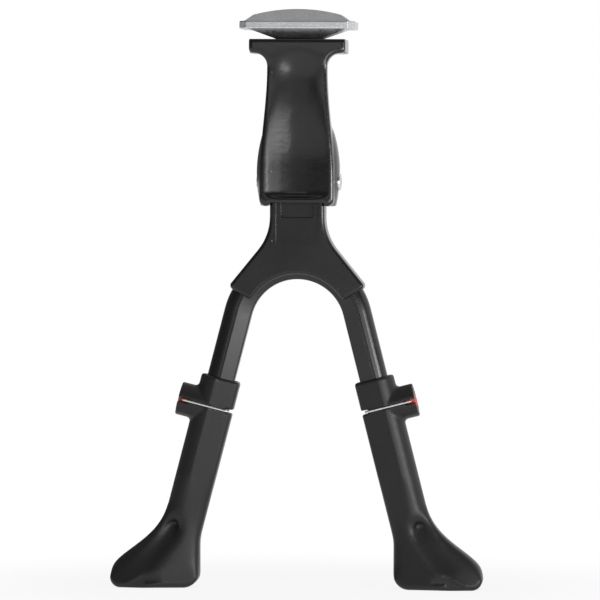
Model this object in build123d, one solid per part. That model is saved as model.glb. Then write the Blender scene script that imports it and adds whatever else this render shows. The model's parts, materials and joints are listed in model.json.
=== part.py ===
from build123d import *
import math
import os

# A two-leg centre kickstand for a bicycle, in millimetres. The origin is the centre of the bracket's
# top face, on the clamp bolt. +Z is up, +X is to the right seen from the front, and the legs fold to +Y.

# Stance: drops are measured down from the bracket's top face
sole_drop = 312.9
pivot_drop = 80.9
arch_drop = 163.5
arch_radius = 35.0
leg_lean = 14.35

# Fits
running_fit = 0.06
slide_gap = 0.15
face_gap = 0.3
overcut = 1.0

# Leg bar: a half-round bead outside, a groove, and a flat web inside
bar_width = 16.0
bead_radius = 6.5
web_depth = 12.4
web_taper = 12.0
web_corner = 1.2
bar_groove_width = 1.4
bar_groove_depth = 0.9
leg_in_foot = 75.0

# Notches along the inner edge of each leg, for the lock wire
notch_count = 7
notch_pitch = 5.0
notch_depth = 1.2
notch_width = 1.7

# Clamp plate
plate_width = 65.6
plate_depth = 40.0
plate_rim = 4.5
plate_lift = 5.7
plate_corner = 4.0
plate_edge = 0.7
wedge_top_width = 55.2
wedge_foot_width = 24.0
wedge_depth = 34.0
wedge_foot_depth = 22.0
crown_height = 6.9
crown_radius = 94.0
crown_width = 59.6
crown_slope = 36.0
crown_ledge = 1.5
crown_top_depth = 25.0

# Clamp bolt
bolt_diameter = 10.0
bolt_reach = 29.0
bolt_head_diameter = 16.0
bolt_head_height = 5.0
bolt_sink = 0.6
bolt_socket = 8.0
bolt_socket_depth = 3.5
clamp_washer_diameter = 20.0
clamp_washer_thickness = 1.5

# Bracket
flange_width = 54.9
flange_thickness = 8.0
flange_back = 20.0
flange_corner = 6.0
flange_end = 2.2
neck_width = 34.0
neck_fillet = 7.5
cheek_width = 42.4
cheek_bottom = 14.0
cheek_corner = 4.0
ear_back = 14.0
ear_top = 20.0
ear_slope = 14.0
ear_corner = 10.0
ear_width = 47.6
ear_rise = 4.9
ear_bulge = 80.0
ear_swell = 25.0
wall_front = 17.5
wall_back = 11.0
rib_depth = 11.0
rib_width = 4.5
front_round = 1.8
dish_radius = 50.0
dish_depth = 3.5
dish_start = 10.0
dish_neck = 27.0
dish_neck_depth = 2.0
dish_full = 72.0
dish_foot = 89.9
dish_round = 2.5
lip_rise = 2.0
column_radius = 10.5

# Pivot
pivot_diameter = 8.0
pivot_thread = 6.0
pivot_head_diameter = 10.6
pivot_head_height = 2.0
pivot_head_round = 1.7
pivot_socket = 4.0
pivot_socket_depth = 1.4
pivot_washer_thickness = 1.2
spot_face_depth = 2.4
spot_face_diameter = 12.6
bush_wall = 1.5
bush_length = 12.0
bush_flange_diameter = 15.0
bush_flange = 1.0
bush_flange_proud = 0.2

# Detent
plunger_diameter = 11.6
plunger_length = 13.0
plunger_nose = 1.5
column_gap = 3.5
detent_bore_length = 31.0
detent_wire = 1.6
detent_turns = 6

# Yoke
tongue_width = 31.2
tongue_front = 10.5
yoke_back = 8.0
tongue_taper_drop = 18.0
arm_angle = 60.0
arm_slope = 39.0
arm_crotch = 30.0
arm_outer_wall = 2.4
arm_inner_cover = 13.0
arm_corner = 2.5
yoke_round = 2.0
pocket_width = 18.6
pocket_drop = 20.5
pocket_depth = 2.5
pocket_corner = 2.0
tongue_recess_width = 24.0
tongue_recess_depth = 1.0
tongue_recess_drop = 36.0

# Screws that hold the bar in the yoke
arch_screw_diameter = 4.0
arch_screw_head = 7.0
arch_screw_head_height = 2.2
arch_screw_head_round = 1.5
arch_screw_socket = 2.5
arch_screw_grip = 3.0
arch_screw_angle = 36.0
arch_screw_inset = 2.4

# Foot
foot_top = 39.4
sleeve_wall = 3.35
sleeve_step = 0.35
sleeve_round = 1.5
boss_drop = 17.3
boss_diameter = 19.0
boss_reach = 20.4
boss_fillet = 2.0
flare_height = 48.0
instep_reach = 16.0
instep_height = 25.4
vamp_reach = 27.2
vamp_height = 16.6
flare_round = 2.5
toe_reach = 32.0
toe_height = 6.0
toe_edge = 1.5
heel_reach = 18.9
heel_round = 9.0
ankle_round = 30.0
sole_half_depth = 15.0
heel_half_depth = 9.0
ridge_height = 30.0
bead_end = 41.0
ridge_reach = 16.5
ankle_edge = 3.0
ridge_swell = 0.6
scoop_rim = 2.6
scoop_top = 39.0
scoop_top_half = 3.0
scoop_foot = 10.0
scoop_foot_half = 11.4
scoop_corner = 3.0
scoop_round = 2.0
rim_edge = 4.5
recess_half_depth = 12.4
recess_rise = 8.5
recess_reach = 10.6
recess_heel = 12.4
recess_toe = 23.0
recess_ends = 2.0
sole_rib_length = 11.0
sole_rib_height = 1.2
sole_rib_proud = 0.8

# Foot lock
wire_diameter = 1.1
wire_bend = 1.4
wire_grip = 2.6
groove_gap = 0.2
slot_width = 2.4
button_diameter = 9.6
button_length = 6.0
button_dome = 1.0
button_proud = 0.5
button_travel = 2.5
button_floor = 10.0
button_spring_wire = 0.7
button_spring_turns = 3

lean = math.radians(leg_lean)
pivot = Vector(0, 0, -pivot_drop)
arch_centre = Vector(0, 0, -arch_drop)
outward = Vector(math.cos(lean), 0, math.sin(lean))
down_leg = Vector(math.sin(lean), 0, -math.cos(lean))
on_floor = (Align.CENTER, Align.CENTER, Align.MIN)
on_left = (Align.MIN, Align.CENTER, Align.CENTER)


def slab(outline, front, back):
    """Extrudes an outline drawn as (x, z) between two y positions."""
    return extrude(Plane.XZ.offset(-back) * outline, amount=back - front)


def side_slab(outline, half_width):
    """Extrudes an outline drawn as (y, z) evenly to both sides along X."""
    return extrude(Plane.YZ.offset(-half_width) * outline, amount=2 * half_width)


def leg_plane(along):
    """The plane across the right leg, with x outward and z down the leg, so far below the arch's end."""
    origin = arch_centre + outward * arch_radius + down_leg * along
    return Plane(origin=origin, x_dir=outward, z_dir=down_leg)


def rod_along_x(radius, start, end):
    """A rod on the pivot axis between two x positions."""
    return extrude(Plane.YZ.offset(start) * Pos(0, -pivot_drop) * Circle(radius), amount=end - start)


def coil(radius, wire, length, turns):
    """An open coil spring that stands on Z = 0."""
    rise = length - wire
    line = Helix(pitch=rise / turns, height=rise, radius=radius, center=(0, 0, wire / 2))
    return sweep(Plane(origin=line @ 0, z_dir=line % 0) * Circle(wire / 2), path=line)


def both_halves(half):
    """A flat outline and its mirror image across x = 0, as one."""
    return half + mirror(half, Plane.YZ)


# Clamp plate and its bolt

rim_top = plate_lift + plate_rim
crown_top = rim_top + crown_height
seat_floor = crown_top - bolt_sink - bolt_head_height - clamp_washer_thickness


def make_top_clamp_plate():
    run = crown_height / math.tan(math.radians(crown_slope))
    crown = Polyline(
        (-crown_width / 2, rim_top),
        (-crown_width / 2 + run, crown_top),
        (crown_width / 2 - run, crown_top),
        (crown_width / 2, rim_top),
        close=True,
    )
    dome = Pos(0, crown_top - crown_radius) * Circle(crown_radius)
    slope_foot = plate_depth / 2 - crown_ledge
    slope = Polyline(
        (-slope_foot, rim_top),
        (-crown_top_depth / 2, crown_top),
        (crown_top_depth / 2, crown_top),
        (slope_foot, rim_top),
        close=True,
    )
    crown = slab(make_face(crown) & dome, -slope_foot, slope_foot)
    crown &= side_slab(make_face(slope), crown_width)
    rim = Box(plate_width, plate_depth, plate_rim, align=on_floor)
    rim = chamfer(rim.edges().filter_by(Axis.Z), plate_corner)
    low, high = rim.faces().filter_by(Axis.Z)
    rim = fillet(low.edges() + high.edges(), plate_edge)
    foot = Rectangle(wedge_foot_width, wedge_foot_depth)
    wedge = loft([foot, Pos(0, 0, plate_lift) * Rectangle(wedge_top_width, wedge_depth)])
    body = Pos(0, 0, plate_lift) * rim + crown + wedge
    seat_radius = clamp_washer_diameter / 2 + slide_gap
    body -= Pos(0, 0, seat_floor) * Cylinder(seat_radius, crown_top, align=on_floor)
    return body - Cylinder(bolt_diameter / 2 + slide_gap, 4 * crown_top)


def make_clamp_washer():
    ring = Circle(clamp_washer_diameter / 2) - Circle(bolt_diameter / 2 + slide_gap)
    return extrude(Pos(0, 0, seat_floor) * ring, amount=clamp_washer_thickness)


def make_clamp_bolt():
    under_head = seat_floor + clamp_washer_thickness
    head = Cylinder(bolt_head_diameter / 2, bolt_head_height, align=on_floor)
    head = chamfer(head.edges().group_by(Axis.Z)[-1], bolt_sink)
    socket = RegularPolygon(bolt_socket / 2, 6, major_radius=False)
    head -= extrude(Pos(0, 0, bolt_head_height - bolt_socket_depth) * socket, amount=bolt_socket_depth)
    shank_length = under_head + bolt_reach
    shank = Cylinder(bolt_diameter / 2, shank_length, align=on_floor)
    shank = chamfer(shank.edges().group_by(Axis.Z)[0], bolt_sink)
    return Pos(0, 0, under_head) * head + Pos(0, 0, -bolt_reach) * shank


# Bracket

tongue_top = pivot.Z + tongue_front
column_foot = tongue_top + column_gap
bracket_foot = pivot.Z - cheek_bottom
cheek_inside = tongue_width / 2 + 2 * bush_flange_proud


def bracket_outline():
    """The bracket from the front: a flange, a neck, and cheeks that swell to the pivot."""
    neck_top = -flange_thickness - neck_fillet
    half = flange_width / 2
    neck = neck_width / 2
    cheek = cheek_width / 2
    swell = Spline((neck, neck_top), (cheek, pivot.Z), tangents=((0, -1), (0, -1)))
    edges = [
        Line((0, 0), (half, 0)),
        Line((half, 0), (half, flange_end - flange_thickness)),
        CenterArc((half - flange_end, flange_end - flange_thickness), flange_end, -90, 90),
        Line((half - flange_end, -flange_thickness), (neck + neck_fillet, -flange_thickness)),
        CenterArc((neck + neck_fillet, neck_top), neck_fillet, 90, 90),
        swell,
        Line((cheek, pivot.Z), (cheek, bracket_foot + cheek_corner)),
        CenterArc((cheek - cheek_corner, bracket_foot + cheek_corner), cheek_corner, -90, 90),
        Line((cheek - cheek_corner, bracket_foot), (0, bracket_foot)),
        Line((0, bracket_foot), (0, 0)),
    ]
    return both_halves(make_face(edges))


def bracket_side():
    """The bracket from the side: a shallow upper part, and deep ears at the pivot."""
    ear_roof = pivot.Z + ear_top
    back = rib_depth - wall_front
    corners = [
        (-wall_front, 0),
        (-wall_front, bracket_foot),
        (ear_back, bracket_foot),
        (ear_back, ear_roof),
        (back, ear_roof + ear_slope),
        (back, 0),
    ]
    radii = [0, 0, ear_corner, ear_corner, ear_corner, 0]
    return make_face(FilletPolyline(*corners, radius=radii, close=True))


def front_dish():
    """A round block that hollows the front wall between its rims, deeper towards the foot."""
    front = -wall_front
    floor = front + dish_depth
    axis_y = floor - dish_radius
    turn = floor - dish_round
    neck = (front + dish_neck_depth, -dish_neck)
    edges = [
        Spline((front, -dish_start), neck, (floor, -dish_full), tangents=((1, -2), (0, -1))),
        Line((floor, -dish_full), (floor, dish_round - dish_foot)),
        CenterArc((turn, dish_round - dish_foot), dish_round, -90, 90),
        Line((turn, -dish_foot), (axis_y, -dish_foot)),
        Line((axis_y, -dish_foot), (axis_y, -dish_start)),
        Line((axis_y, -dish_start), (front, -dish_start)),
    ]
    return revolve(Plane.YZ * make_face(edges), axis=Axis((0, axis_y, 0), (0, 0, 1)))


def make_ears():
    """The barrel shaped outside of the two cheeks, fullest near the pivot."""
    middle = pivot.Z + ear_rise
    axis_x = ear_width / 2 - ear_swell
    lens = Pos(ear_width / 2 - ear_bulge, middle) * Circle(ear_bulge)
    tall = 2 * (pivot_drop - flange_thickness)
    lens &= Pos(axis_x, middle) * Rectangle(ear_width, tall, align=(Align.MIN, Align.CENTER))
    barrel = revolve(Plane.XZ * lens, axis=Axis((axis_x, 0, 0), (0, 0, 1)))
    barrel &= side_slab(bracket_side(), ear_width)
    behind = Box(ear_width, ear_width, tall, align=(Align.MIN, Align.MIN, Align.CENTER))
    ear = barrel & Pos(cheek_inside, front_round - wall_front, middle) * behind
    return ear + mirror(ear, Plane.YZ)


def make_bracket():
    shell = slab(bracket_outline(), -2 * wall_front, ear_back) & side_slab(bracket_side(), flange_width)
    rims = [e for e in shell.edges() if is_front_rim(e)]
    shell = fillet(rims, front_round) + make_ears() - front_dish()
    upper = make_face(
        Polyline(
            (-neck_width / 2 + rib_width, -flange_thickness),
            (neck_width / 2 - rib_width, -flange_thickness),
            (cheek_inside, column_foot),
            (-cheek_inside, column_foot),
            close=True,
        )
    )
    lower = Pos(0, column_foot) * Rectangle(2 * cheek_inside, 2 * (column_foot - bracket_foot))
    shell -= slab(upper + lower, -wall_back, 2 * ear_back)
    lip = Pos(0, bracket_foot) * Rectangle(2 * cheek_inside, 2 * lip_rise)
    shell -= slab(lip, -2 * wall_front, 2 * ear_back)
    column_length = -column_foot
    column = Pos(0, 0, column_foot) * Cylinder(column_radius, column_length, align=on_floor)
    web_width = column_radius
    web = Pos(0, -wall_back / 2, column_foot) * Box(web_width, wall_back, column_length, align=on_floor)
    flange_depth = flange_back + wall_front - front_round
    flange = Box(flange_width, flange_depth, flange_thickness, align=(Align.CENTER, Align.MAX, Align.MAX))
    flange = fillet(flange.edges().filter_by(Axis.Z), flange_corner)
    body = shell + column + web + Pos(0, flange_back, 0) * flange
    bolt_hole = Cylinder(bolt_diameter / 2 + running_fit, bolt_reach + overcut, align=on_floor)
    body -= Pos(0, 0, -bolt_reach - face_gap) * bolt_hole
    detent_bore = Cylinder(plunger_diameter / 2 + running_fit, detent_bore_length, align=on_floor)
    body -= Pos(0, 0, column_foot) * detent_bore
    outside = ear_width / 2
    body -= rod_along_x(pivot_diameter / 2 + running_fit, 0, ear_width)
    body -= rod_along_x(pivot_thread / 2, -ear_width, 0)
    return body - rod_along_x(spot_face_diameter / 2, outside - spot_face_depth, ear_width)


def is_front_rim(edge):
    """True for the edges that run round the bracket's front face."""
    middle = edge.center()
    crosses = abs(middle.X) < running_fit and middle.Z > bracket_foot + running_fit
    return middle.Y < running_fit - wall_front and not crosses and middle.Z < -running_fit


# Pivot

head_seat = ear_width / 2 - spot_face_depth + pivot_washer_thickness
bush_bore = pivot_diameter / 2 + running_fit
bush_outside = bush_bore + bush_wall


def make_pivot_bolt():
    shoulder = rod_along_x(pivot_diameter / 2, -cheek_inside, head_seat)
    thread = rod_along_x(pivot_thread / 2, -ear_width / 2, -cheek_inside)
    head = rod_along_x(pivot_head_diameter / 2, head_seat, head_seat + pivot_head_height)
    head = fillet(head.edges().group_by(Axis.X)[-1], pivot_head_round)
    socket = Pos(0, -pivot_drop) * RegularPolygon(pivot_socket / 2, 6, major_radius=False)
    socket_floor = head_seat + pivot_head_height - pivot_socket_depth
    head -= extrude(Plane.YZ.offset(socket_floor) * socket, amount=pivot_socket_depth)
    return shoulder + thread + head


def make_pivot_washer():
    start = head_seat - pivot_washer_thickness
    disc = rod_along_x(spot_face_diameter / 2 - slide_gap, start, head_seat)
    return disc - rod_along_x(bush_bore, start, head_seat)


def make_pivot_bush():
    flange_outside = tongue_width / 2 + bush_flange_proud
    flange_inside = flange_outside - bush_flange
    sleeve = rod_along_x(bush_outside, flange_inside - bush_length, flange_outside)
    flange = rod_along_x(bush_flange_diameter / 2, flange_inside, flange_outside)
    return sleeve + flange - rod_along_x(bush_bore, 0, flange_outside)


# Detent

plunger_foot = tongue_top + face_gap
detent_bore_top = column_foot + detent_bore_length


def make_detent_plunger():
    plunger = Cylinder(plunger_diameter / 2, plunger_length, align=on_floor)
    return Pos(0, 0, plunger_foot) * chamfer(plunger.edges().group_by(Axis.Z)[0], plunger_nose)


def make_detent_spring():
    seat = plunger_foot + plunger_length
    radius = plunger_diameter / 2 - detent_wire
    return Pos(0, 0, seat) * coil(radius, detent_wire, detent_bore_top - seat, detent_turns)


# Leg bar

bead_centre = bar_width / 2 - bead_radius
web_slope = math.tan(math.radians(web_taper))
screw_seat = web_depth / 2 - (bead_centre + arch_screw_inset + arch_screw_head / 2) * web_slope


def bar_section(grow=0.0, step=0.0):
    """The bar's section, or the same grown by a clearance or a wall: a bead outside and a web inside."""
    bead = Pos(bead_centre, 0) * Circle(bead_radius + grow)
    bead &= Pos(bead_centre, 0) * Rectangle(bar_width * 2, bar_width * 4, align=(Align.MIN, Align.CENTER))
    inner = -bar_width / 2 - grow
    thick = web_depth / 2 + grow - step
    thin = thick - (bead_centre - inner) * web_slope
    corners = [(bead_centre, -thick), (inner, -thin), (inner, thin), (bead_centre, thick)]
    web = make_face(Polyline(*corners, close=True))
    return bead + fillet(web.vertices().group_by(Axis.X)[0], web_corner + grow / 2)


def bend_round(section):
    """Carries a section across the right leg's top round the arch to the left leg's top."""
    arch_axis = Axis(arch_centre, (0, -1, 0))
    return revolve(leg_plane(0) * section, axis=arch_axis, revolution_arc=180 - 2 * leg_lean)


def arch_screw_places():
    """Where the screws cross the bar, each with z towards the back."""
    places = []
    for turn in (-arch_screw_angle, 0, arch_screw_angle):
        angle = math.radians(turn)
        spot = arch_centre + Vector(math.sin(angle), 0, math.cos(angle)) * (arch_radius - arch_screw_inset)
        places.append(Plane(origin=spot, x_dir=(1, 0, 0), z_dir=(0, 1, 0)))
    return places


def make_leg_arch():
    section = bar_section()
    for side in (-1, 1):
        groove = Rectangle(bar_groove_width, 2 * bar_groove_depth, align=(Align.MAX, Align.CENTER))
        section -= Pos(bead_centre, side * web_depth / 2) * groove
    leg = extrude(leg_plane(0) * section, amount=foot_top + leg_in_foot, dir=down_leg)
    for i in range(notch_count):
        place = leg_plane(foot_top + boss_drop + i * notch_pitch)
        leg -= place * Pos(-bar_width / 2, 0) * Box(2 * notch_depth, bar_width, notch_width)
    arch = bend_round(section) + leg + mirror(leg, Plane.YZ)
    for place in arch_screw_places():
        arch -= place * Cylinder(arch_screw_diameter / 2 + running_fit, 2 * bar_width)
        spot_face = Cylinder(arch_screw_head / 2 + slide_gap, web_depth, align=on_floor)
        arch -= place * Pos(0, 0, screw_seat) * spot_face
    return arch


def make_arch_screws():
    head = Cylinder(arch_screw_head / 2, arch_screw_head_height, align=on_floor)
    head = fillet(head.edges().group_by(Axis.Z)[-1], arch_screw_head_round)
    socket = RegularPolygon(arch_screw_socket / 2, 6, major_radius=False)
    head -= Pos(0, 0, arch_screw_head_height / 2) * extrude(socket, amount=arch_screw_head_height)
    shank_length = screw_seat + web_depth / 2 + arch_screw_grip
    shank = Cylinder(arch_screw_diameter / 2, shank_length, align=on_floor)
    screw = Pos(0, 0, screw_seat) * head + Pos(0, 0, screw_seat - shank_length) * shank
    return Compound(children=[place * screw for place in arch_screw_places()])


# Yoke


def yoke_outline():
    """The yoke from the front: a tongue that parts into two arms over the arch."""
    outer = arch_radius + bar_width / 2 + arm_outer_wall
    inner = arch_radius + bar_width / 2 - arm_inner_cover
    turn = math.radians(arm_angle)
    slope = math.radians(arm_slope)
    radial = Vector(math.sin(turn), math.cos(turn))
    centre = Vector(0, -arch_drop)
    shoulder = centre + radial * outer
    elbow = centre + radial * (inner - arm_corner)
    side = tongue_width / 2
    crotch = (side, shoulder.Y + (shoulder.X - side) / math.tan(slope))
    half = FilletPolyline(
        (0, tongue_top),
        (side, tongue_top),
        crotch,
        (shoulder.X, shoulder.Y),
        (elbow.X, elbow.Y),
        (0, elbow.Y),
        radius=[0, 0, arm_crotch, arm_corner, 0, 0],
        close=True,
    )
    outline = make_face(half) - Pos(0, -arch_drop) * Circle(inner)
    toe = outline.vertices().sort_by(Axis.Y)[0]
    return both_halves(fillet(toe, arm_corner))


def yoke_side():
    """The yoke from the side: a round top on the pivot and a thinner back below it."""
    foot = -arch_drop
    below = Polyline(
        (-tongue_front, pivot.Z),
        (-tongue_front, foot),
        (yoke_back, foot),
        (yoke_back, pivot.Z - tongue_taper_drop),
        (tongue_front, pivot.Z),
    )
    return make_face([CenterArc((0, pivot.Z), tongue_front, 0, 180), below])


def make_yoke():
    plate = slab(yoke_outline(), -tongue_front, tongue_front)
    front = plate.faces().sort_by(Axis.Y)[0]
    plate = fillet(front.edges(), yoke_round)
    body = plate & side_slab(yoke_side(), bar_width * 4)
    pocket = Rectangle(pocket_width, 2 * pocket_drop, align=(Align.CENTER, Align.MIN))
    pocket = Pos(0, pivot.Z - pocket_drop) * fillet(pocket.vertices().group_by(Axis.Y)[0], pocket_corner)
    body -= slab(pocket, -2 * tongue_front, pocket_depth - tongue_front)
    fade = Polyline(
        (-tongue_front, pivot.Z - tongue_recess_drop),
        (tongue_recess_depth - tongue_front, pivot.Z),
        (-2 * tongue_front, pivot.Z),
        close=True,
    )
    body -= side_slab(make_face(fade), tongue_recess_width / 2)
    channel = bar_section(running_fit)
    reach = bar_width + 2 * running_fit
    channel += Rectangle(reach, 2 * yoke_back, align=(Align.CENTER, Align.MAX))
    body -= bend_round(channel)
    screw_depth = web_depth / 2 + arch_screw_grip
    screw_hole = Rot(180, 0, 0) * Cylinder(arch_screw_diameter / 2, screw_depth, align=on_floor)
    for place in arch_screw_places():
        body -= place * screw_hole
    body -= rod_along_x(bush_outside, -tongue_width, tongue_width)
    seat = tongue_width / 2 + bush_flange_proud - bush_flange
    for start, end in ((seat, tongue_width), (-tongue_width, -seat)):
        body -= rod_along_x(bush_flange_diameter / 2, start, end)
    return body


# Foot, made for the right leg

lock_level = foot_top + boss_drop
sleeve_half = bar_width / 2 + sleeve_wall
wire_arm = boss_diameter / 2 + slide_gap / 2
wire_base = -(bar_width / 2 + face_gap + wire_diameter / 2)
button_base = boss_reach + button_proud - button_length
wire_tip = (button_base + boss_reach) / 2
floor_along = (sole_drop - arch_drop + arch_radius * math.sin(lean)) / math.cos(lean)


def axis_x(height):
    """Where the leg's axis stands at a height above the floor."""
    floor_x = arch_radius * math.cos(lean) + floor_along * math.sin(lean)
    return floor_x - height * math.tan(lean)


def foot_outline():
    """The flared part of the foot from the front, as (x, height above the floor)."""
    side = sleeve_half / math.cos(lean)
    heel = axis_x(0) - heel_reach
    toe = axis_x(0) + toe_reach
    ankle = (heel_reach - side) / math.tan(lean)
    start = (axis_x(flare_height) + side, flare_height)
    inside = (axis_x(flare_height) - side, flare_height)
    instep = (axis_x(0) + instep_reach, instep_height)
    vamp = (axis_x(0) + vamp_reach, vamp_height)
    slopes = ((down_leg.X, down_leg.Z), (0, -1))
    edges = [
        Spline(start, instep, vamp, (toe, toe_height), tangents=slopes),
        CenterArc((toe - toe_height, toe_height), toe_height, -90, 90),
        Line((toe - toe_height, 0), (heel + heel_round, 0)),
        CenterArc((heel + heel_round, heel_round), heel_round, 180, 90),
        FilletPolyline((heel, heel_round), (heel, ankle), inside, radius=ankle_round),
        Line(inside, start),
    ]
    return make_face(edges)


def foot_level(height, stations):
    """An outline across the foot at a height, from (distance outward of the axis, half depth) stations."""
    near = [(axis_x(height) + reach, -half) for reach, half in stations]
    far = [(x, -y) for x, y in reversed(near)]
    return Pos(0, 0, height - sole_drop) * make_face(Polyline(*near, *far, close=True))


def make_foot_flare():
    """The ankle and sole: flat heel faces, a ridge down to the sole's widest point, and a hollow toe."""
    web_half = web_depth / 2 + sleeve_wall - sleeve_step
    wide = toe_reach + sleeve_half
    behind = -heel_reach - ankle_edge
    heel_half = web_half - (bead_centre - behind) * web_slope
    edge = (sleeve_half + ankle_edge, toe_edge / 2)
    ankle = [(behind, heel_half - ridge_swell), (bead_centre, web_half - ridge_swell), edge]
    ridge = [(behind, heel_half + ridge_swell), (bead_centre, web_half + ridge_swell), (wide, rim_edge)]
    sole = [(behind, heel_half_depth), (ridge_reach, sole_half_depth), (wide, 2 * rim_edge)]
    top = flare_height + overcut
    depth = loft([foot_level(top, ankle), foot_level(ridge_height, ridge), foot_level(0, sole)])
    outline = Pos(0, -sole_drop) * foot_outline()
    flare = slab(outline, -2 * sole_half_depth, 2 * sole_half_depth) & depth
    return fillet([e for e in flare.edges() if is_flare_side(e)], flare_round)


def is_flare_side(edge):
    """True for the flare's long edges on the toe side and the heel side."""
    middle = edge.center()
    height = middle.Z + sole_drop
    outside = abs(middle.X - axis_x(height)) > sleeve_half - flare_round
    return outside and abs(middle.Y) > toe_edge and face_gap < height < flare_height - face_gap


def ridge_x(height):
    """Where the ridge runs at a height above the floor."""
    fall = (axis_x(0) + ridge_reach - axis_x(ridge_height) - bead_centre) / ridge_height
    return axis_x(0) + ridge_reach - height * fall


def toe_scoop():
    """The hollow between the ridge and the outer rim, front and back, with a floor that leans back."""
    far = axis_x(0) + toe_reach
    corners = [
        (axis_x(scoop_top) + bead_centre, scoop_top),
        (far, scoop_top),
        (far, scoop_foot),
        (ridge_x(scoop_foot), scoop_foot),
        (ridge_x(ridge_height), ridge_height),
    ]
    region = Pos(-scoop_rim, -scoop_rim) * foot_outline() & make_face(Polyline(*corners, close=True))
    region = fillet(region.vertices().group_by(Axis.Y)[-1], scoop_corner)
    front = -2 * sole_half_depth
    floor = make_face(
        Polyline(
            (front, scoop_foot - sole_drop),
            (-scoop_foot_half, scoop_foot - sole_drop),
            (-scoop_top_half, scoop_top - sole_drop),
            (front, scoop_top - sole_drop),
            close=True,
        )
    )
    cut = slab(Pos(0, -sole_drop) * region, front, 0) & side_slab(floor, 2 * far)
    cut = fillet(cut.faces().sort_by(Axis.Y)[-1].edges(), scoop_round)
    return cut + mirror(cut, Plane.XZ)


def sole_recess():
    """The shallow inverted V in the foot's lower edge, front and back, with a small rib left in it."""
    middle = axis_x(0)
    vee = Polyline(
        (middle - recess_heel, recess_ends),
        (middle + recess_reach, recess_rise),
        (middle + recess_toe, recess_ends),
        (middle + recess_toe, -recess_rise),
        (middle - recess_heel, -recess_rise),
        close=True,
    )
    deep = 2 * sole_half_depth
    cut = slab(Pos(0, -sole_drop) * make_face(vee), -deep, -recess_half_depth)
    rib_place = Pos(middle + recess_reach - sole_rib_length / 2, -sole_drop + 2 * sole_rib_height)
    rib = rib_place * Rectangle(sole_rib_length, sole_rib_height)
    cut -= slab(rib, -recess_half_depth - sole_rib_proud, -recess_half_depth)
    return cut + mirror(cut, Plane.XZ)


def make_foot():
    sleeve_length = floor_along - foot_top - bead_end / math.cos(lean)
    top = leg_plane(foot_top)
    body = extrude(top * bar_section(sleeve_wall, sleeve_step), amount=sleeve_length, dir=down_leg)
    outer_half = Box(bar_width * 2, bar_width * 2, bar_width * 2, align=on_left)
    dome = Sphere(bead_radius + sleeve_wall) & outer_half
    body += leg_plane(foot_top + sleeve_length) * Pos(bead_centre, 0, 0) * dome
    boss_place = leg_plane(lock_level)
    boss = Cylinder(boss_diameter / 2, boss_reach - bead_centre, align=on_floor)
    body += boss_place * Pos(bead_centre, 0, 0) * Rot(0, 90, 0) * boss
    body = fillet(body.edges().filter_by(GeomType.BSPLINE), boss_fillet)
    top_rim = [e for e in body.edges() if abs((e.center() - top.origin).dot(down_leg)) < slide_gap]
    body = fillet(top_rim, sleeve_round)
    body += make_foot_flare()
    body -= toe_scoop()
    body -= sole_recess()
    cavity = leg_plane(foot_top - overcut) * bar_section(slide_gap)
    body -= extrude(cavity, amount=leg_in_foot + overcut + face_gap, dir=down_leg)
    bore = Cylinder(button_diameter / 2 + running_fit, boss_reach, align=on_floor)
    body -= boss_place * Pos(button_floor, 0, 0) * Rot(0, 90, 0) * bore
    groove_floor = wire_arm - wire_diameter / 2 - groove_gap
    groove_width = wire_diameter + 2 * groove_gap
    groove_side = (Align.CENTER, Align.MIN, Align.CENTER)
    for side in (-1, 1):
        groove = Box(4 * boss_reach, boss_diameter, groove_width, align=groove_side)
        body -= boss_place * Rot(90 - 90 * side, 0, 0) * Pos(0, groove_floor, 0) * groove
    slot_start = wire_tip - button_travel - wire_diameter
    slot = Box(boss_reach, 2 * boss_diameter, slot_width)
    body -= boss_place * Pos(slot_start + boss_reach / 2, 0, 0) * slot
    inner_end = wire_diameter - bar_width / 2
    return body - boss_place * Pos(inner_end - boss_reach / 2, 0, 0) * slot


def make_lock_wire():
    route = FilletPolyline(
        (wire_tip, button_diameter / 2 - wire_grip),
        (wire_tip, wire_arm),
        (wire_base, wire_arm),
        (wire_base, -wire_arm),
        (wire_tip, -wire_arm),
        (wire_tip, wire_grip - button_diameter / 2),
        radius=wire_bend,
    )
    start = Plane(origin=route @ 0, z_dir=route % 0)
    return leg_plane(lock_level) * sweep(start * Circle(wire_diameter / 2), path=route)


def make_lock_button():
    radius = button_diameter / 2
    body = Cylinder(radius, button_length, align=on_floor)
    ball = (radius**2 + button_dome**2) / (2 * button_dome)
    body &= Pos(0, 0, button_length - ball) * Sphere(ball)
    body = leg_plane(lock_level) * Pos(button_base, 0, 0) * Rot(0, 90, 0) * body
    hole = Rot(90, 0, 0) * Cylinder(wire_diameter / 2, 2 * button_diameter)
    return body - leg_plane(lock_level) * Pos(wire_tip, 0, 0) * hole


def make_button_spring():
    radius = button_diameter / 2 - button_spring_wire
    spring = coil(radius, button_spring_wire, button_base - button_floor, button_spring_turns)
    return leg_plane(lock_level) * Pos(button_floor, 0, 0) * Rot(0, 90, 0) * spring


os.makedirs("parts", exist_ok=True)

pieces = {
    "top_clamp_plate": make_top_clamp_plate(),
    "clamp_washer": make_clamp_washer(),
    "clamp_bolt": make_clamp_bolt(),
    "bracket": make_bracket(),
    "pivot_bolt": make_pivot_bolt(),
    "pivot_washer": make_pivot_washer(),
    "pivot_bush_right": make_pivot_bush(),
    "pivot_bush_left": mirror(make_pivot_bush(), Plane.YZ),
    "detent_plunger": make_detent_plunger(),
    "detent_spring": make_detent_spring(),
    "yoke": make_yoke(),
    "leg_arch": make_leg_arch(),
    "arch_screws": make_arch_screws(),
}
right_side = {
    "foot": make_foot(),
    "lock_wire": make_lock_wire(),
    "lock_button": make_lock_button(),
    "button_spring": make_button_spring(),
}
for name, piece in right_side.items():
    pieces[name + "_right"] = piece
    pieces[name + "_left"] = mirror(piece, Plane.YZ)

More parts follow.
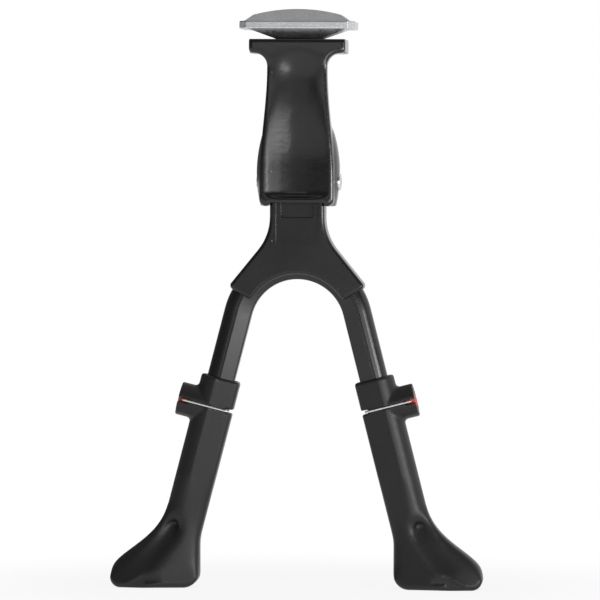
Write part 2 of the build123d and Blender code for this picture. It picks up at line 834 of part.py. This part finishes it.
for name, piece in pieces.items():
    export_step(piece, f"parts/{name}.step")
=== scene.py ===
import json
import math

import bpy
from mathutils import Matrix, Quaternion, Vector

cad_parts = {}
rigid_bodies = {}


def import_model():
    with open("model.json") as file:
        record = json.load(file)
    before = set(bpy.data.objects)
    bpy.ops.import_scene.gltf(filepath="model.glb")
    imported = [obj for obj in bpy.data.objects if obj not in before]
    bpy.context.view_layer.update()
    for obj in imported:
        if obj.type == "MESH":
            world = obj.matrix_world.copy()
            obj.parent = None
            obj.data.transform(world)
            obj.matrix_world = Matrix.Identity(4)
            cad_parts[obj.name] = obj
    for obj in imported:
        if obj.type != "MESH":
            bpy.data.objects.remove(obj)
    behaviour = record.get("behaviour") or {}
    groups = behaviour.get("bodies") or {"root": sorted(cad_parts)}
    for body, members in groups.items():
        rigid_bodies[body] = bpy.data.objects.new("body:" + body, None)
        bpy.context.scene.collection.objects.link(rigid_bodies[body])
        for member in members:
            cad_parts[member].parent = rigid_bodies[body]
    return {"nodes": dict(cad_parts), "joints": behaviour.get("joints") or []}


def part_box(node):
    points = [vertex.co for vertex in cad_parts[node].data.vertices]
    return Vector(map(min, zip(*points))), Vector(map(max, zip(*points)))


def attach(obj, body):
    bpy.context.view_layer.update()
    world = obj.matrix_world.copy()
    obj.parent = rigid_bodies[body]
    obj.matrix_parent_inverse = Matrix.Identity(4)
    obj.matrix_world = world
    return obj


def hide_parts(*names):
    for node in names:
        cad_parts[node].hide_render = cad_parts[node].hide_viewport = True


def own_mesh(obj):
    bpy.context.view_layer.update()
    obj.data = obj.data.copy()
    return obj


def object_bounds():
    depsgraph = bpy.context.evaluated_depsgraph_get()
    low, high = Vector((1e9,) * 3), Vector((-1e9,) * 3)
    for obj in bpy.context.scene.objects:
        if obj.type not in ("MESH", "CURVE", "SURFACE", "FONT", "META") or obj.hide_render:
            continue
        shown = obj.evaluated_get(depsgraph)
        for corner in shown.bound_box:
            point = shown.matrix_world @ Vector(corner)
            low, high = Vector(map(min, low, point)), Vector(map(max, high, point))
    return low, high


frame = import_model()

cad_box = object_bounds()
bpy.ops.object.select_all(action="DESELECT")
joints = {joint["name"]: joint for joint in frame["joints"]}


# Bracket
# One aluminium die casting, powder coated satin black. The chain stays rest on its flange, and the
# fork turns between its two cheeks. Its front wall blends into the flange as a casting does.


class Wire:
    """A shader socket that takes part in arithmetic: each operation adds its Math node."""

    def __init__(self, tree, socket):
        self.tree = tree
        self.socket = socket

    def node(self, kind, settings, links, output=0):
        made = self.tree.nodes.new(kind)
        for name, value in settings.items():
            setattr(made, name, value)
        for name, value in links.items():
            if isinstance(value, Wire):
                self.tree.links.new(value.socket, made.inputs[name])
            else:
                made.inputs[name].default_value = value
        return Wire(self.tree, made.outputs[output])

    def math(self, operation, first, second):
        return self.node("ShaderNodeMath", {"operation": operation}, {0: first, 1: second})

    def __add__(self, other):
        return self.math("ADD", self, other)

    def __radd__(self, other):
        return self.math("ADD", other, self)

    def __sub__(self, other):
        return self.math("SUBTRACT", self, other)

    def __rsub__(self, other):
        return self.math("SUBTRACT", other, self)

    def __mul__(self, other):
        return self.math("MULTIPLY", self, other)

    def __rmul__(self, other):
        return self.math("MULTIPLY", other, self)

    def __gt__(self, other):
        return self.math("GREATER_THAN", self, other)

    def __lt__(self, other):
        return self.math("LESS_THAN", self, other)

    def __abs__(self):
        return self.math("ABSOLUTE", self, 0.0)


def new_finish(name, numbers):
    """A material, its shader, and the place on the surface; numbers are the same all over it."""
    material = bpy.data.materials.new(name)
    material.use_nodes = True
    shader = material.node_tree.nodes["Principled BSDF"]
    for socket, value in numbers.items():
        shader.inputs[socket].default_value = value
    place = material.node_tree.nodes.new("ShaderNodeTexCoord").outputs["Object"]
    return material, shader, Wire(material.node_tree, place)


def feed(shader, socket, wire):
    """Lets a socket of the shader vary over the surface."""
    wire.tree.links.new(wire.socket, shader.inputs[socket])


def cloud(place, scale, detail=2.0):
    """Soft irregular patches, so many to the metre, from 0 to 1."""
    return place.node("ShaderNodeTexNoise", {}, {"Vector": place, "Scale": scale, "Detail": detail}, "Fac")


def mix(amount, first, second):
    """One colour turning into another."""
    colours = {0: amount, 6: first, 7: second}
    return amount.node("ShaderNodeMix", {"data_type": "RGBA"}, colours, 2)


def grey(level, warmth=0.0):
    """A grey, turned to yellow by a little warmth or to blue by its opposite."""
    return (level * (1 + warmth), level, level * (1 - warmth), 1.0)


def relief(height, depth, strength, edge):
    """A surface normal with fine relief and edges that are eased by a small radius."""
    eased = height.node("ShaderNodeBevel", {"samples": 4}, {"Radius": edge}, "Normal")
    bumps = {"Height": height, "Distance": depth, "Strength": strength, "Normal": eased}
    return height.node("ShaderNodeBump", {}, bumps, "Normal")


def specks(place, scale, size, share):
    """Dust: dots of one size in a small share of the cells."""
    cells = {"Vector": place, "Scale": scale}
    near = place.node("ShaderNodeTexVoronoi", {}, cells, "Distance")
    pick = place.node("ShaderNodeTexVoronoi", {}, cells, "Color")
    red = pick.node("ShaderNodeSeparateColor", {}, {"Color": pick}, "Red")
    return (near < size) * (red < share)


def black_coat(name, dull, shine):
    """Powder coat: near black, softly uneven gloss, fine orange peel and a little dust."""
    material, shader, place = new_finish(name, {"Specular IOR Level": shine})
    patches = cloud(place, 40.0, 3.0)
    peel = 4 * cloud(place, 350.0, 3.0) + cloud(place, 900.0) + 0.3 * cloud(place, 2600.0)
    dust = specks(place, 210.0, 0.07, 0.035)
    coat = mix(patches, grey(0.004), grey(0.008))
    feed(shader, "Base Color", mix(dust, coat, grey(0.22, 0.06)))
    feed(shader, "Roughness", dull + 0.12 * patches + 0.25 * dust)
    feed(shader, "Normal", relief(peel, 0.00002, 0.4, 0.0005))
    return material


def dress(material, *nodes):
    """Gives CAD nodes their finish."""
    for node in nodes:
        frame["nodes"][node].material_slots[0].material = material


def ramp(value, start, end):
    """0 before start, 1 past end, and even between; start may be the larger."""
    return min(1, max(0, (value - start) / (end - start)))


def eased_copy(node, grain, share, rounds):
    """A moulded or cast skin: the node's own form, with edges eased where share(point) is above 0."""
    bpy.ops.object.select_all(action="DESELECT")
    frame["nodes"][node].select_set(True)
    bpy.context.view_layer.objects.active = frame["nodes"][node]
    bpy.ops.object.duplicate()
    skin = bpy.context.object
    bpy.ops.object.parent_clear(type="CLEAR_KEEP_TRANSFORM")
    skin.name = node + "_skin"
    skin.data.materials.clear()
    bpy.ops.object.mode_set(mode="EDIT")
    bpy.ops.mesh.select_all(action="SELECT")
    bpy.ops.mesh.remove_doubles(threshold=1e-6)
    bpy.ops.object.mode_set(mode="OBJECT")
    remesh = skin.modifiers.new("grain", "REMESH")
    remesh.mode = "VOXEL"
    remesh.voxel_size = grain
    bpy.ops.object.modifier_apply(modifier=remesh.name)
    eased = skin.vertex_groups.new(name="eased")
    for vertex in skin.data.vertices:
        eased.add([vertex.index], share(vertex.co), "REPLACE")
    all_over = (2, "")
    for count, group in ((rounds, eased.name), all_over):
        smooth = skin.modifiers.new("smooth", "SMOOTH")
        smooth.factor = 0.5
        smooth.iterations = count
        smooth.vertex_group = group
        bpy.ops.object.modifier_apply(modifier=smooth.name)
    bpy.ops.object.shade_smooth()
    skin.select_set(False)
    return skin


wall_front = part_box("bracket")[0].y
bracket_grain = 0.0008
bracket_rounds = 200
brow_depth = (0.009, 0.006)
brow_top = (-0.004, -0.009)
brow_foot = (-0.066, -0.040)
brow_sides = (0.0165, 0.0135)


def brow_share(point):
    """How freely the wall's points may be eased: each pair above runs from not at all to fully."""
    in_front = ramp(point.y - wall_front, *brow_depth)
    below_flange = ramp(point.z, *brow_top)
    above_foot = ramp(point.z, *brow_foot)
    inside_rims = ramp(abs(point.x), *brow_sides)
    return in_front * below_flange * above_foot * inside_rims


bracket = eased_copy("bracket", bracket_grain, brow_share, bracket_rounds)
bracket.data.materials.append(black_coat("bracket_black_coat", dull=0.12, shine=0.5))
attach(bracket, "bracket")
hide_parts("bracket")


# Detent
# A hardened plunger and its coil spring sit in the bracket's column and press on the fork's tongue,
# which holds the fork up or down. The spring is closed at both ends.


def steel(name, level, warmth, dull):
    """Bright steel with a faint fine grain and a little uneven plating."""
    material, shader, place = new_finish(name, {"Metallic": 1.0})
    patches = cloud(place, 120.0, 3.0)
    grain = cloud(place, 3000.0)
    feed(shader, "Base Color", mix(patches, grey(level * 0.86, warmth), grey(level, warmth)))
    feed(shader, "Roughness", dull + 0.12 * patches)
    feed(shader, "Normal", relief(grain, 0.00001, 0.2, 0.0002))
    return material


def turn_profile(wire, pitch, turns, steps):
    """Carries the selected object's section up a helix."""
    screw = wire.modifiers.new("turns", "SCREW")
    screw.screw_offset = pitch
    screw.iterations = turns
    screw.steps = steps
    screw.render_steps = steps
    screw.use_merge_vertices = True
    bpy.ops.object.modifier_apply(modifier=screw.name)


steps_a_turn = 48


def coil_spring(name, radius, wire, length, turns):
    """A closed coil spring that stands on the origin: one dead turn at each end and open turns between."""
    stretches = [(0, wire, 1), (wire, (length - 3 * wire) / turns, turns), (length - 2 * wire, wire, 1)]
    for rise, pitch, count in stretches:
        place = (radius, 0, wire / 2 + rise)
        bpy.ops.mesh.primitive_circle_add(
            vertices=16, radius=wire / 2, location=place, rotation=(math.pi / 2, 0, 0)
        )
        bpy.ops.object.transform_apply()
        turn_profile(bpy.context.object, pitch, count, steps_a_turn)
        bpy.context.object.name = name
    for piece in list(bpy.data.objects):
        piece.select_set(piece.name.startswith(name) and piece.type == "MESH" and piece.parent is None)
    bpy.ops.object.join()
    spring = bpy.context.object
    bpy.ops.object.mode_set(mode="EDIT")
    bpy.ops.mesh.select_all(action="SELECT")
    bpy.ops.mesh.remove_doubles(threshold=wire / 100)
    for level, side in ((wire / 3, -1), (length - wire / 3, 1)):
        bpy.ops.mesh.select_all(action="SELECT")
        bpy.ops.mesh.bisect(
            plane_co=(0, 0, level), plane_no=(0, 0, side), use_fill=True, clear_outer=True
        )
    bpy.ops.mesh.select_all(action="SELECT")
    bpy.ops.mesh.normals_make_consistent(inside=False)
    bpy.ops.object.mode_set(mode="OBJECT")
    bpy.ops.object.shade_smooth_by_angle(angle=math.radians(40))
    spring.name = name
    return spring


def settle(piece, place):
    """Puts a piece where it belongs, with its place in its mesh."""
    piece.matrix_world = place
    bpy.ops.object.select_all(action="DESELECT")
    piece.select_set(True)
    bpy.context.view_layer.objects.active = piece
    bpy.ops.object.transform_apply()
    piece.select_set(False)


spring_steel = steel("spring_steel", level=0.62, warmth=0.02, dull=0.3)
detent_low, detent_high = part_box("detent_spring")
detent_wire = 0.0016
detent_turns = 5
detent_length = detent_high.z - detent_low.z
detent_radius = (detent_high.x - detent_low.x - detent_wire) / 2
detent_coil = coil_spring("detent_coil", detent_radius, detent_wire, detent_length, detent_turns)
settle(detent_coil, Matrix.Translation((0, 0, detent_low.z)))
detent_coil.data.materials.append(spring_steel)
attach(detent_coil, "bracket")
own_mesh(detent_coil)
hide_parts("detent_spring")
dress(steel("plunger_steel", level=0.5, warmth=0.0, dull=0.25), "detent_plunger")


# Fork: bushes and yoke
# The yoke is a second black die casting, an inverted Y. Two moulded bushes line its tongue, where the
# pivot bolt passes through.


def moulded_bush():
    """Pale acetal: slightly waxy, with fine moulding grain."""
    material, shader, place = new_finish("bush_acetal", {"Subsurface Weight": 0.05})
    patches = cloud(place, 150.0)
    feed(shader, "Base Color", mix(patches, grey(0.6, 0.03), grey(0.68, 0.03)))
    feed(shader, "Roughness", 0.38 + 0.1 * patches)
    return material


dress(moulded_bush(), "pivot_bush_right", "pivot_bush_left")
dress(black_coat("yoke_black_coat", dull=0.2, shine=0.45), "yoke")


# Pivot bolt and washer
# A plated button head screw goes in from the right cheek over a washer that is coloured near black.
# The fork turns on it.

bright_plate = steel("bright_plating", level=0.72, warmth=0.015, dull=0.2)
dress(bright_plate, "pivot_bolt")
# The washer is coloured near black with the black coat.
dress(black_coat("washer_near_black", dull=0.45, shine=0.2), "pivot_washer")


# Leg bar and its screws
# One black coated aluminium extrusion, bent into an arch, makes both legs. It has a bead outside and a
# flat web inside, and three screws hold it in the yoke from behind.

arch_drop = 0.1635
arch_radius = 0.035
down_leg = Vector(joints["foot_slide_right"]["axis"])
outward = Vector((-down_leg.z, 0, down_leg.x))


def across_bar(place):
    """How far a point lies across the bar from its middle line, and how far down the leg, in metres."""
    parts = {"Vector": place}
    side = abs(place.node("ShaderNodeSeparateXYZ", {}, parts, "X"))
    height = place.node("ShaderNodeSeparateXYZ", {}, parts, "Z") + arch_drop
    along = side * down_leg.x + height * down_leg.z
    straight = side * outward.x + height * outward.z
    reach = side.math("POWER", side * side + height * height, 0.5)
    on_leg = along > 0.0
    return on_leg * straight + (1 - on_leg) * reach - arch_radius, along


def bar_coat():
    """Black coating over extrusion lines that run the length of the bar."""
    material, shader, place = new_finish("bar_black_coat", {"Specular IOR Level": 0.5})
    across, along = across_bar(place)
    depth = place.node("ShaderNodeSeparateXYZ", {}, {"Vector": place}, "Y")
    lengthwise = {"X": across, "Y": depth, "Z": along * 0.02}
    drawn = place.node("ShaderNodeCombineXYZ", {}, lengthwise)
    lines = cloud(drawn, 1800.0, 3.0)
    patches = cloud(place, 50.0, 3.0)
    feed(shader, "Base Color", mix(patches, grey(0.005), grey(0.010)))
    feed(shader, "Roughness", 0.14 + 0.1 * patches + 0.08 * lines)
    feed(shader, "Normal", relief(lines, 0.00002, 0.25, 0.0003))
    return material


dress(bar_coat(), "leg_arch")
dress(steel("screw_steel", level=0.55, warmth=0.01, dull=0.28), "arch_screws")


# Feet
# Each foot is one black nylon moulding: a sleeve on the leg, a boss for the lock button and a flared
# sole. The mould left a fine grain, and the hollow above the toe runs softly into the flare.


def foot_nylon():
    """Moulded nylon: black, half matt, with fine grain, soft flow marks and a little dust."""
    material, shader, place = new_finish("foot_nylon", {"Specular IOR Level": 0.35})
    patches = cloud(place, 30.0, 4.0)
    grain = cloud(place, 2400.0, 2.0)
    flow = cloud(place, 300.0, 3.0)
    nylon = mix(patches, grey(0.009, 0.01), grey(0.016, 0.01))
    dust = specks(place, 260.0, 0.06, 0.03)
    feed(shader, "Base Color", mix(dust, nylon, grey(0.14, 0.04)))
    feed(shader, "Roughness", 0.3 + 0.12 * patches + 0.08 * flow)
    feed(shader, "Normal", relief(grain + 0.5 * flow, 0.00003, 0.3, 0.0005))
    return material


foot_grain = 0.0006
foot_rounds = 350
hollow_foot = (0.006, 0.014)
hollow_top = (0.064, 0.048)
hollow_heel = (0.006, 0.016)
hollow_depth = (0.003, 0.007)


def flare_share(side):
    """How freely a foot's points may be eased: each pair above runs from not at all to fully."""
    low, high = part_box("foot_" + side)
    toward_toe = 1 if side == "right" else -1
    heel = low.x if side == "right" else high.x
    middle = (low.y + high.y) / 2

    def share(point):
        above_sole = ramp(point.z - low.z, *hollow_foot)
        below_sleeve = ramp(point.z - low.z, *hollow_top)
        past_heel = ramp(toward_toe * (point.x - heel), *hollow_heel)
        off_middle = ramp(abs(point.y - middle), *hollow_depth)
        return above_sole * below_sleeve * past_heel * off_middle

    return share


nylon = foot_nylon()
for side in ("right", "left"):
    foot = eased_copy("foot_" + side, foot_grain, flare_share(side), foot_rounds)
    foot.data.materials.append(nylon)
    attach(foot, "foot_" + side)
    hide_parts("foot_" + side)


# Foot locks
# A red moulded button in each boss pulls a bent steel wire, whose far side drops into a notch of the
# leg. A small coil spring behind the button pushes it out.


def red_button():
    """Red moulded plastic, slightly mottled."""
    material, shader, place = new_finish("button_red", {"Specular IOR Level": 0.5})
    patches = cloud(place, 400.0, 3.0)
    feed(shader, "Base Color", mix(patches, (0.56, 0.06, 0.04, 1.0), (0.68, 0.09, 0.06, 1.0)))
    feed(shader, "Roughness", 0.35 + 0.15 * patches)
    feed(shader, "Normal", relief(cloud(place, 2000.0), 0.00002, 0.2, 0.0003))
    return material


dress(red_button(), "lock_button_right", "lock_button_left")
wire_steel = steel("lock_wire_steel", level=0.82, warmth=0.02, dull=0.22)
dress(wire_steel, "lock_wire_right", "lock_wire_left")

button_wire = 0.0007
button_radius = 0.0041
button_length = 0.0049
button_turns = 2
for side in ("right", "left"):
    press = joints["button_press_" + side]
    inward = Vector(press["axis"])
    low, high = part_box("button_spring_" + side)
    seat = (low + high) / 2 + inward * button_length / 2
    coil = coil_spring("button_coil_" + side, button_radius, button_wire, button_length, button_turns)
    turn = Vector((0, 0, 1)).rotation_difference(-inward)
    settle(coil, Matrix.LocRotScale(seat, turn, None))
    coil.data.materials.append(spring_steel)
    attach(coil, "foot_" + side)
    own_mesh(coil)
    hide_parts("button_spring_" + side)


# Clamp plate, washer and bolt
# The plate is a bare aluminium casting with a bright crystalline skin. A socket head bolt, sunk in its
# crown over a washer, pulls it down on the chain stays.


def bare_casting():
    """Cast aluminium: crystal grains that catch the light, with duller, greyer skin between."""
    material, shader, place = new_finish("plate_casting", {"Metallic": 1.0})
    patches = cloud(place, 90.0, 4.0)
    cells = {"Vector": place, "Scale": 1300.0}
    crystal = place.node("ShaderNodeTexVoronoi", {}, cells, "Color")
    tone = crystal.node("ShaderNodeSeparateColor", {}, {"Color": crystal}, "Red")
    pits = cloud(place, 1500.0, 3.0)
    skin = mix(patches, grey(0.50, -0.02), grey(0.64, -0.02))
    feed(shader, "Base Color", mix((tone > 0.93) * 0.5, skin, grey(0.8, -0.01)))
    feed(shader, "Roughness", 0.32 + 0.18 * tone - 0.08 * patches)
    feed(shader, "Normal", relief(pits + 0.6 * tone, 0.00005, 0.4, 0.0004))
    return material


def threaded_bolt():
    """An M10 socket head bolt: a chamfered head with a hexagon socket, and a rolled thread below."""
    low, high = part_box("clamp_bolt")
    head_radius = (high.x - low.x) / 2
    head_height = 0.005
    bolt_radius = 0.005
    pitch = 0.0015
    depth = 0.0009
    rim_width = 0.0006
    socket_radius = 0.004 / math.cos(math.pi / 6)
    socket_depth = 0.0035
    neck = high.z - head_height
    bpy.ops.mesh.primitive_cylinder_add(
        vertices=72, radius=head_radius, depth=head_height, location=(0, 0, high.z - head_height / 2)
    )
    bpy.ops.object.transform_apply()
    head = bpy.context.object
    bevel = head.modifiers.new("rim", "BEVEL")
    bevel.width = rim_width
    bevel.segments = 3
    bevel.limit_method = "ANGLE"
    bpy.ops.object.modifier_apply(modifier=bevel.name)
    bpy.ops.mesh.primitive_cylinder_add(
        vertices=6, radius=socket_radius, depth=2 * socket_depth, location=(0, 0, high.z)
    )
    cutter = bpy.context.object
    bpy.context.view_layer.objects.active = head
    cut = head.modifiers.new("socket", "BOOLEAN")
    cut.object = cutter
    cut.operation = "DIFFERENCE"
    bpy.ops.object.modifier_apply(modifier=cut.name)
    bpy.data.objects.remove(cutter)
    bpy.ops.mesh.primitive_plane_add(size=pitch, location=(bolt_radius, 0, 0), rotation=(math.pi / 2, 0, 0))
    bpy.ops.object.transform_apply()
    thread = bpy.context.object
    profile = [(bolt_radius - depth, 0), (bolt_radius, 0.4), (bolt_radius, 0.6), (bolt_radius - depth, 1)]
    for vertex, (reach, share) in zip(thread.data.vertices, profile):
        vertex.co = (reach, 0, low.z - pitch + share * pitch)
    bpy.ops.object.mode_set(mode="EDIT")
    bpy.ops.mesh.select_all(action="SELECT")
    bpy.ops.mesh.delete(type="EDGE_FACE")
    bpy.ops.object.mode_set(mode="OBJECT")
    thread.data.edges.add(3)
    for index, edge in enumerate(thread.data.edges):
        edge.vertices = (index, index + 1)
    turns = math.ceil((neck - low.z) / pitch) + 2
    turn_profile(thread, pitch, turns, steps_a_turn)
    bpy.ops.object.mode_set(mode="EDIT")
    bpy.ops.mesh.select_all(action="SELECT")
    bpy.ops.mesh.remove_doubles(threshold=pitch / 200)
    for level, way in ((low.z, -1), (neck, 1)):
        bpy.ops.mesh.select_all(action="SELECT")
        bpy.ops.mesh.bisect(plane_co=(0, 0, level), plane_no=(0, 0, way), use_fill=True, clear_outer=True)
    bpy.ops.mesh.select_all(action="SELECT")
    bpy.ops.mesh.normals_make_consistent(inside=False)
    bpy.ops.object.mode_set(mode="OBJECT")
    head.select_set(True)
    bpy.context.view_layer.objects.active = head
    bpy.ops.object.join()
    bpy.ops.object.shade_smooth_by_angle(angle=math.radians(35))
    head.name = "threaded_clamp_bolt"
    return head


bolt = threaded_bolt()
bolt.data.materials.append(bright_plate)
bolt.select_set(False)
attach(bolt, "clamp")
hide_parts("clamp_bolt")
dress(bright_plate, "clamp_washer")
dress(bare_casting(), "top_clamp_plate")


# Studio
# A pale floor that keeps the shadow, and a white background. A bright soft box and three weak ones
# stand at the front, most of them to the right. The room is dim on the left and the ceiling is grey.

floor_level = (0, 0, cad_box[0].z)
floor_radius = 6.0
bpy.ops.mesh.primitive_circle_add(vertices=96, radius=floor_radius, fill_type="NGON", location=floor_level)
floor = bpy.context.object
floor.name = "floor"


def light_path(wire, *names):
    """1 for rays of the named kinds."""
    rays = [wire.node("ShaderNodeLightPath", {}, {}, "Is " + name + " Ray") for name in names]
    found = rays[0]
    for ray in rays[1:]:
        found = wire.math("MAXIMUM", found, ray)
    return found


def rise(wire, start, end, low=0.0, high=1.0):
    """A smooth step from one level to another."""
    span = {"Value": wire, "From Min": start, "From Max": end, "To Min": low, "To Max": high}
    return wire.node("ShaderNodeMapRange", {"interpolation_type": "SMOOTHSTEP"}, span)


shadow_reach = (0.1, 0.3)
shadow_white = 0.88


def studio_floor():
    """Pale and matt near the object, where the shadow falls, and plain white further out."""
    material, shader, place = new_finish("floor_white", {"Specular IOR Level": 0.0, "Roughness": 1.0})
    shader.inputs["Base Color"].default_value = grey(0.9)
    tree = material.node_tree
    distance = place.node("ShaderNodeVectorMath", {"operation": "LENGTH"}, {0: place}, "Value")
    far = rise(distance, *shadow_reach, low=shadow_white)
    seen = light_path(far, "Camera", "Glossy", "Transmission")
    white = far.node("ShaderNodeEmission", {}, {"Color": grey(1.0), "Strength": 1.0})
    paint = Wire(tree, shader.outputs[0])
    blended = far.node("ShaderNodeMixShader", {}, {0: far * seen, 1: paint, 2: white})
    tree.links.new(blended.socket, tree.nodes["Material Output"].inputs["Surface"])
    return material


floor.data.materials.append(studio_floor())

world = bpy.data.worlds.new("studio")
world.use_nodes = True
bpy.context.scene.world = world
sky = world.node_tree.nodes["Background"]
sky.inputs["Color"].default_value = grey(1.0)
toward_sky = Wire(world.node_tree, world.node_tree.nodes.new("ShaderNodeTexCoord").outputs["Generated"])
sideways = toward_sky.node("ShaderNodeSeparateXYZ", {}, {0: toward_sky}, "X")
behind = toward_sky.node("ShaderNodeSeparateXYZ", {}, {0: toward_sky}, "Y")
upward = toward_sky.node("ShaderNodeSeparateXYZ", {}, {0: toward_sky}, "Z")
room_light = 0.15
fill_light = 0.4
ceiling_light = 0.42
ceiling_edge = (0.7, 0.95)
backdrop_edge = (0.6, 1.1)
backdrop_turn = 1.2
ceiling = ceiling_light * rise(upward, *ceiling_edge)
backdrop = rise(behind + backdrop_turn * sideways, *backdrop_edge)
room = room_light + (1 - room_light) * ceiling.math("MAXIMUM", ceiling, backdrop)
mirrored = light_path(toward_sky, "Glossy", "Transmission")
seen = light_path(toward_sky, "Camera")
feed(sky, "Strength", seen + (1 - seen) * (mirrored * room + (1 - mirrored) * fill_light))


def soft_box(name, place, size, brightness, aim):
    """A rectangular light with an even face, so bright for each square metre and direction."""
    bpy.ops.object.light_add(type="AREA", location=place)
    lamp = bpy.context.object
    lamp.name = name
    lamp.data.shape = "RECTANGLE"
    lamp.data.size, lamp.data.size_y = size
    lamp.data.energy = brightness * math.pi * size[0] * size[1]
    lamp.rotation_mode = "QUATERNION"
    lamp.rotation_quaternion = (Vector(aim) - Vector(place)).to_track_quat("-Z", "Y")


middle = (0, 0, (cad_box[0].z + cad_box[1].z) / 2)
soft_box("key", place=(0.74, -0.67, -0.12), size=(0.46, 0.16), brightness=18.0, aim=middle)
soft_box("low", place=(0.33, -0.94, -0.232), size=(0.5, 0.15), brightness=5.5, aim=middle)
soft_box("wash", place=(0.42, -0.91, -0.1), size=(0.3, 0.1), brightness=2.0, aim=middle)
soft_box("brow", place=(-0.07, -1.0, 0.04), size=(0.5, 0.12), brightness=1.2, aim=middle)


# Camera
# A long lens far from the object, a little to its right and just above its middle, rolled slightly.

camera_away = 3.0
camera_yaw = math.radians(4.0)
camera_rise = math.radians(1.5)
camera_roll = math.radians(0.25)
view_width = 0.3423
aim = Vector((0.0012, 0, -0.1484))
level = math.cos(camera_rise)
toward = Vector((math.sin(camera_yaw) * level, -math.cos(camera_yaw) * level, math.sin(camera_rise)))
bpy.ops.object.camera_add(location=aim + toward * camera_away)
camera = bpy.context.object
camera.rotation_mode = "QUATERNION"
camera.rotation_quaternion = (-toward).to_track_quat("-Z", "Y") @ Quaternion((0, 0, 1), camera_roll)
camera.data.lens = camera.data.sensor_width * camera_away / view_width
camera.data.clip_end = 30.0
bpy.context.scene.camera = camera
bpy.context.scene.view_settings.view_transform = "Standard"
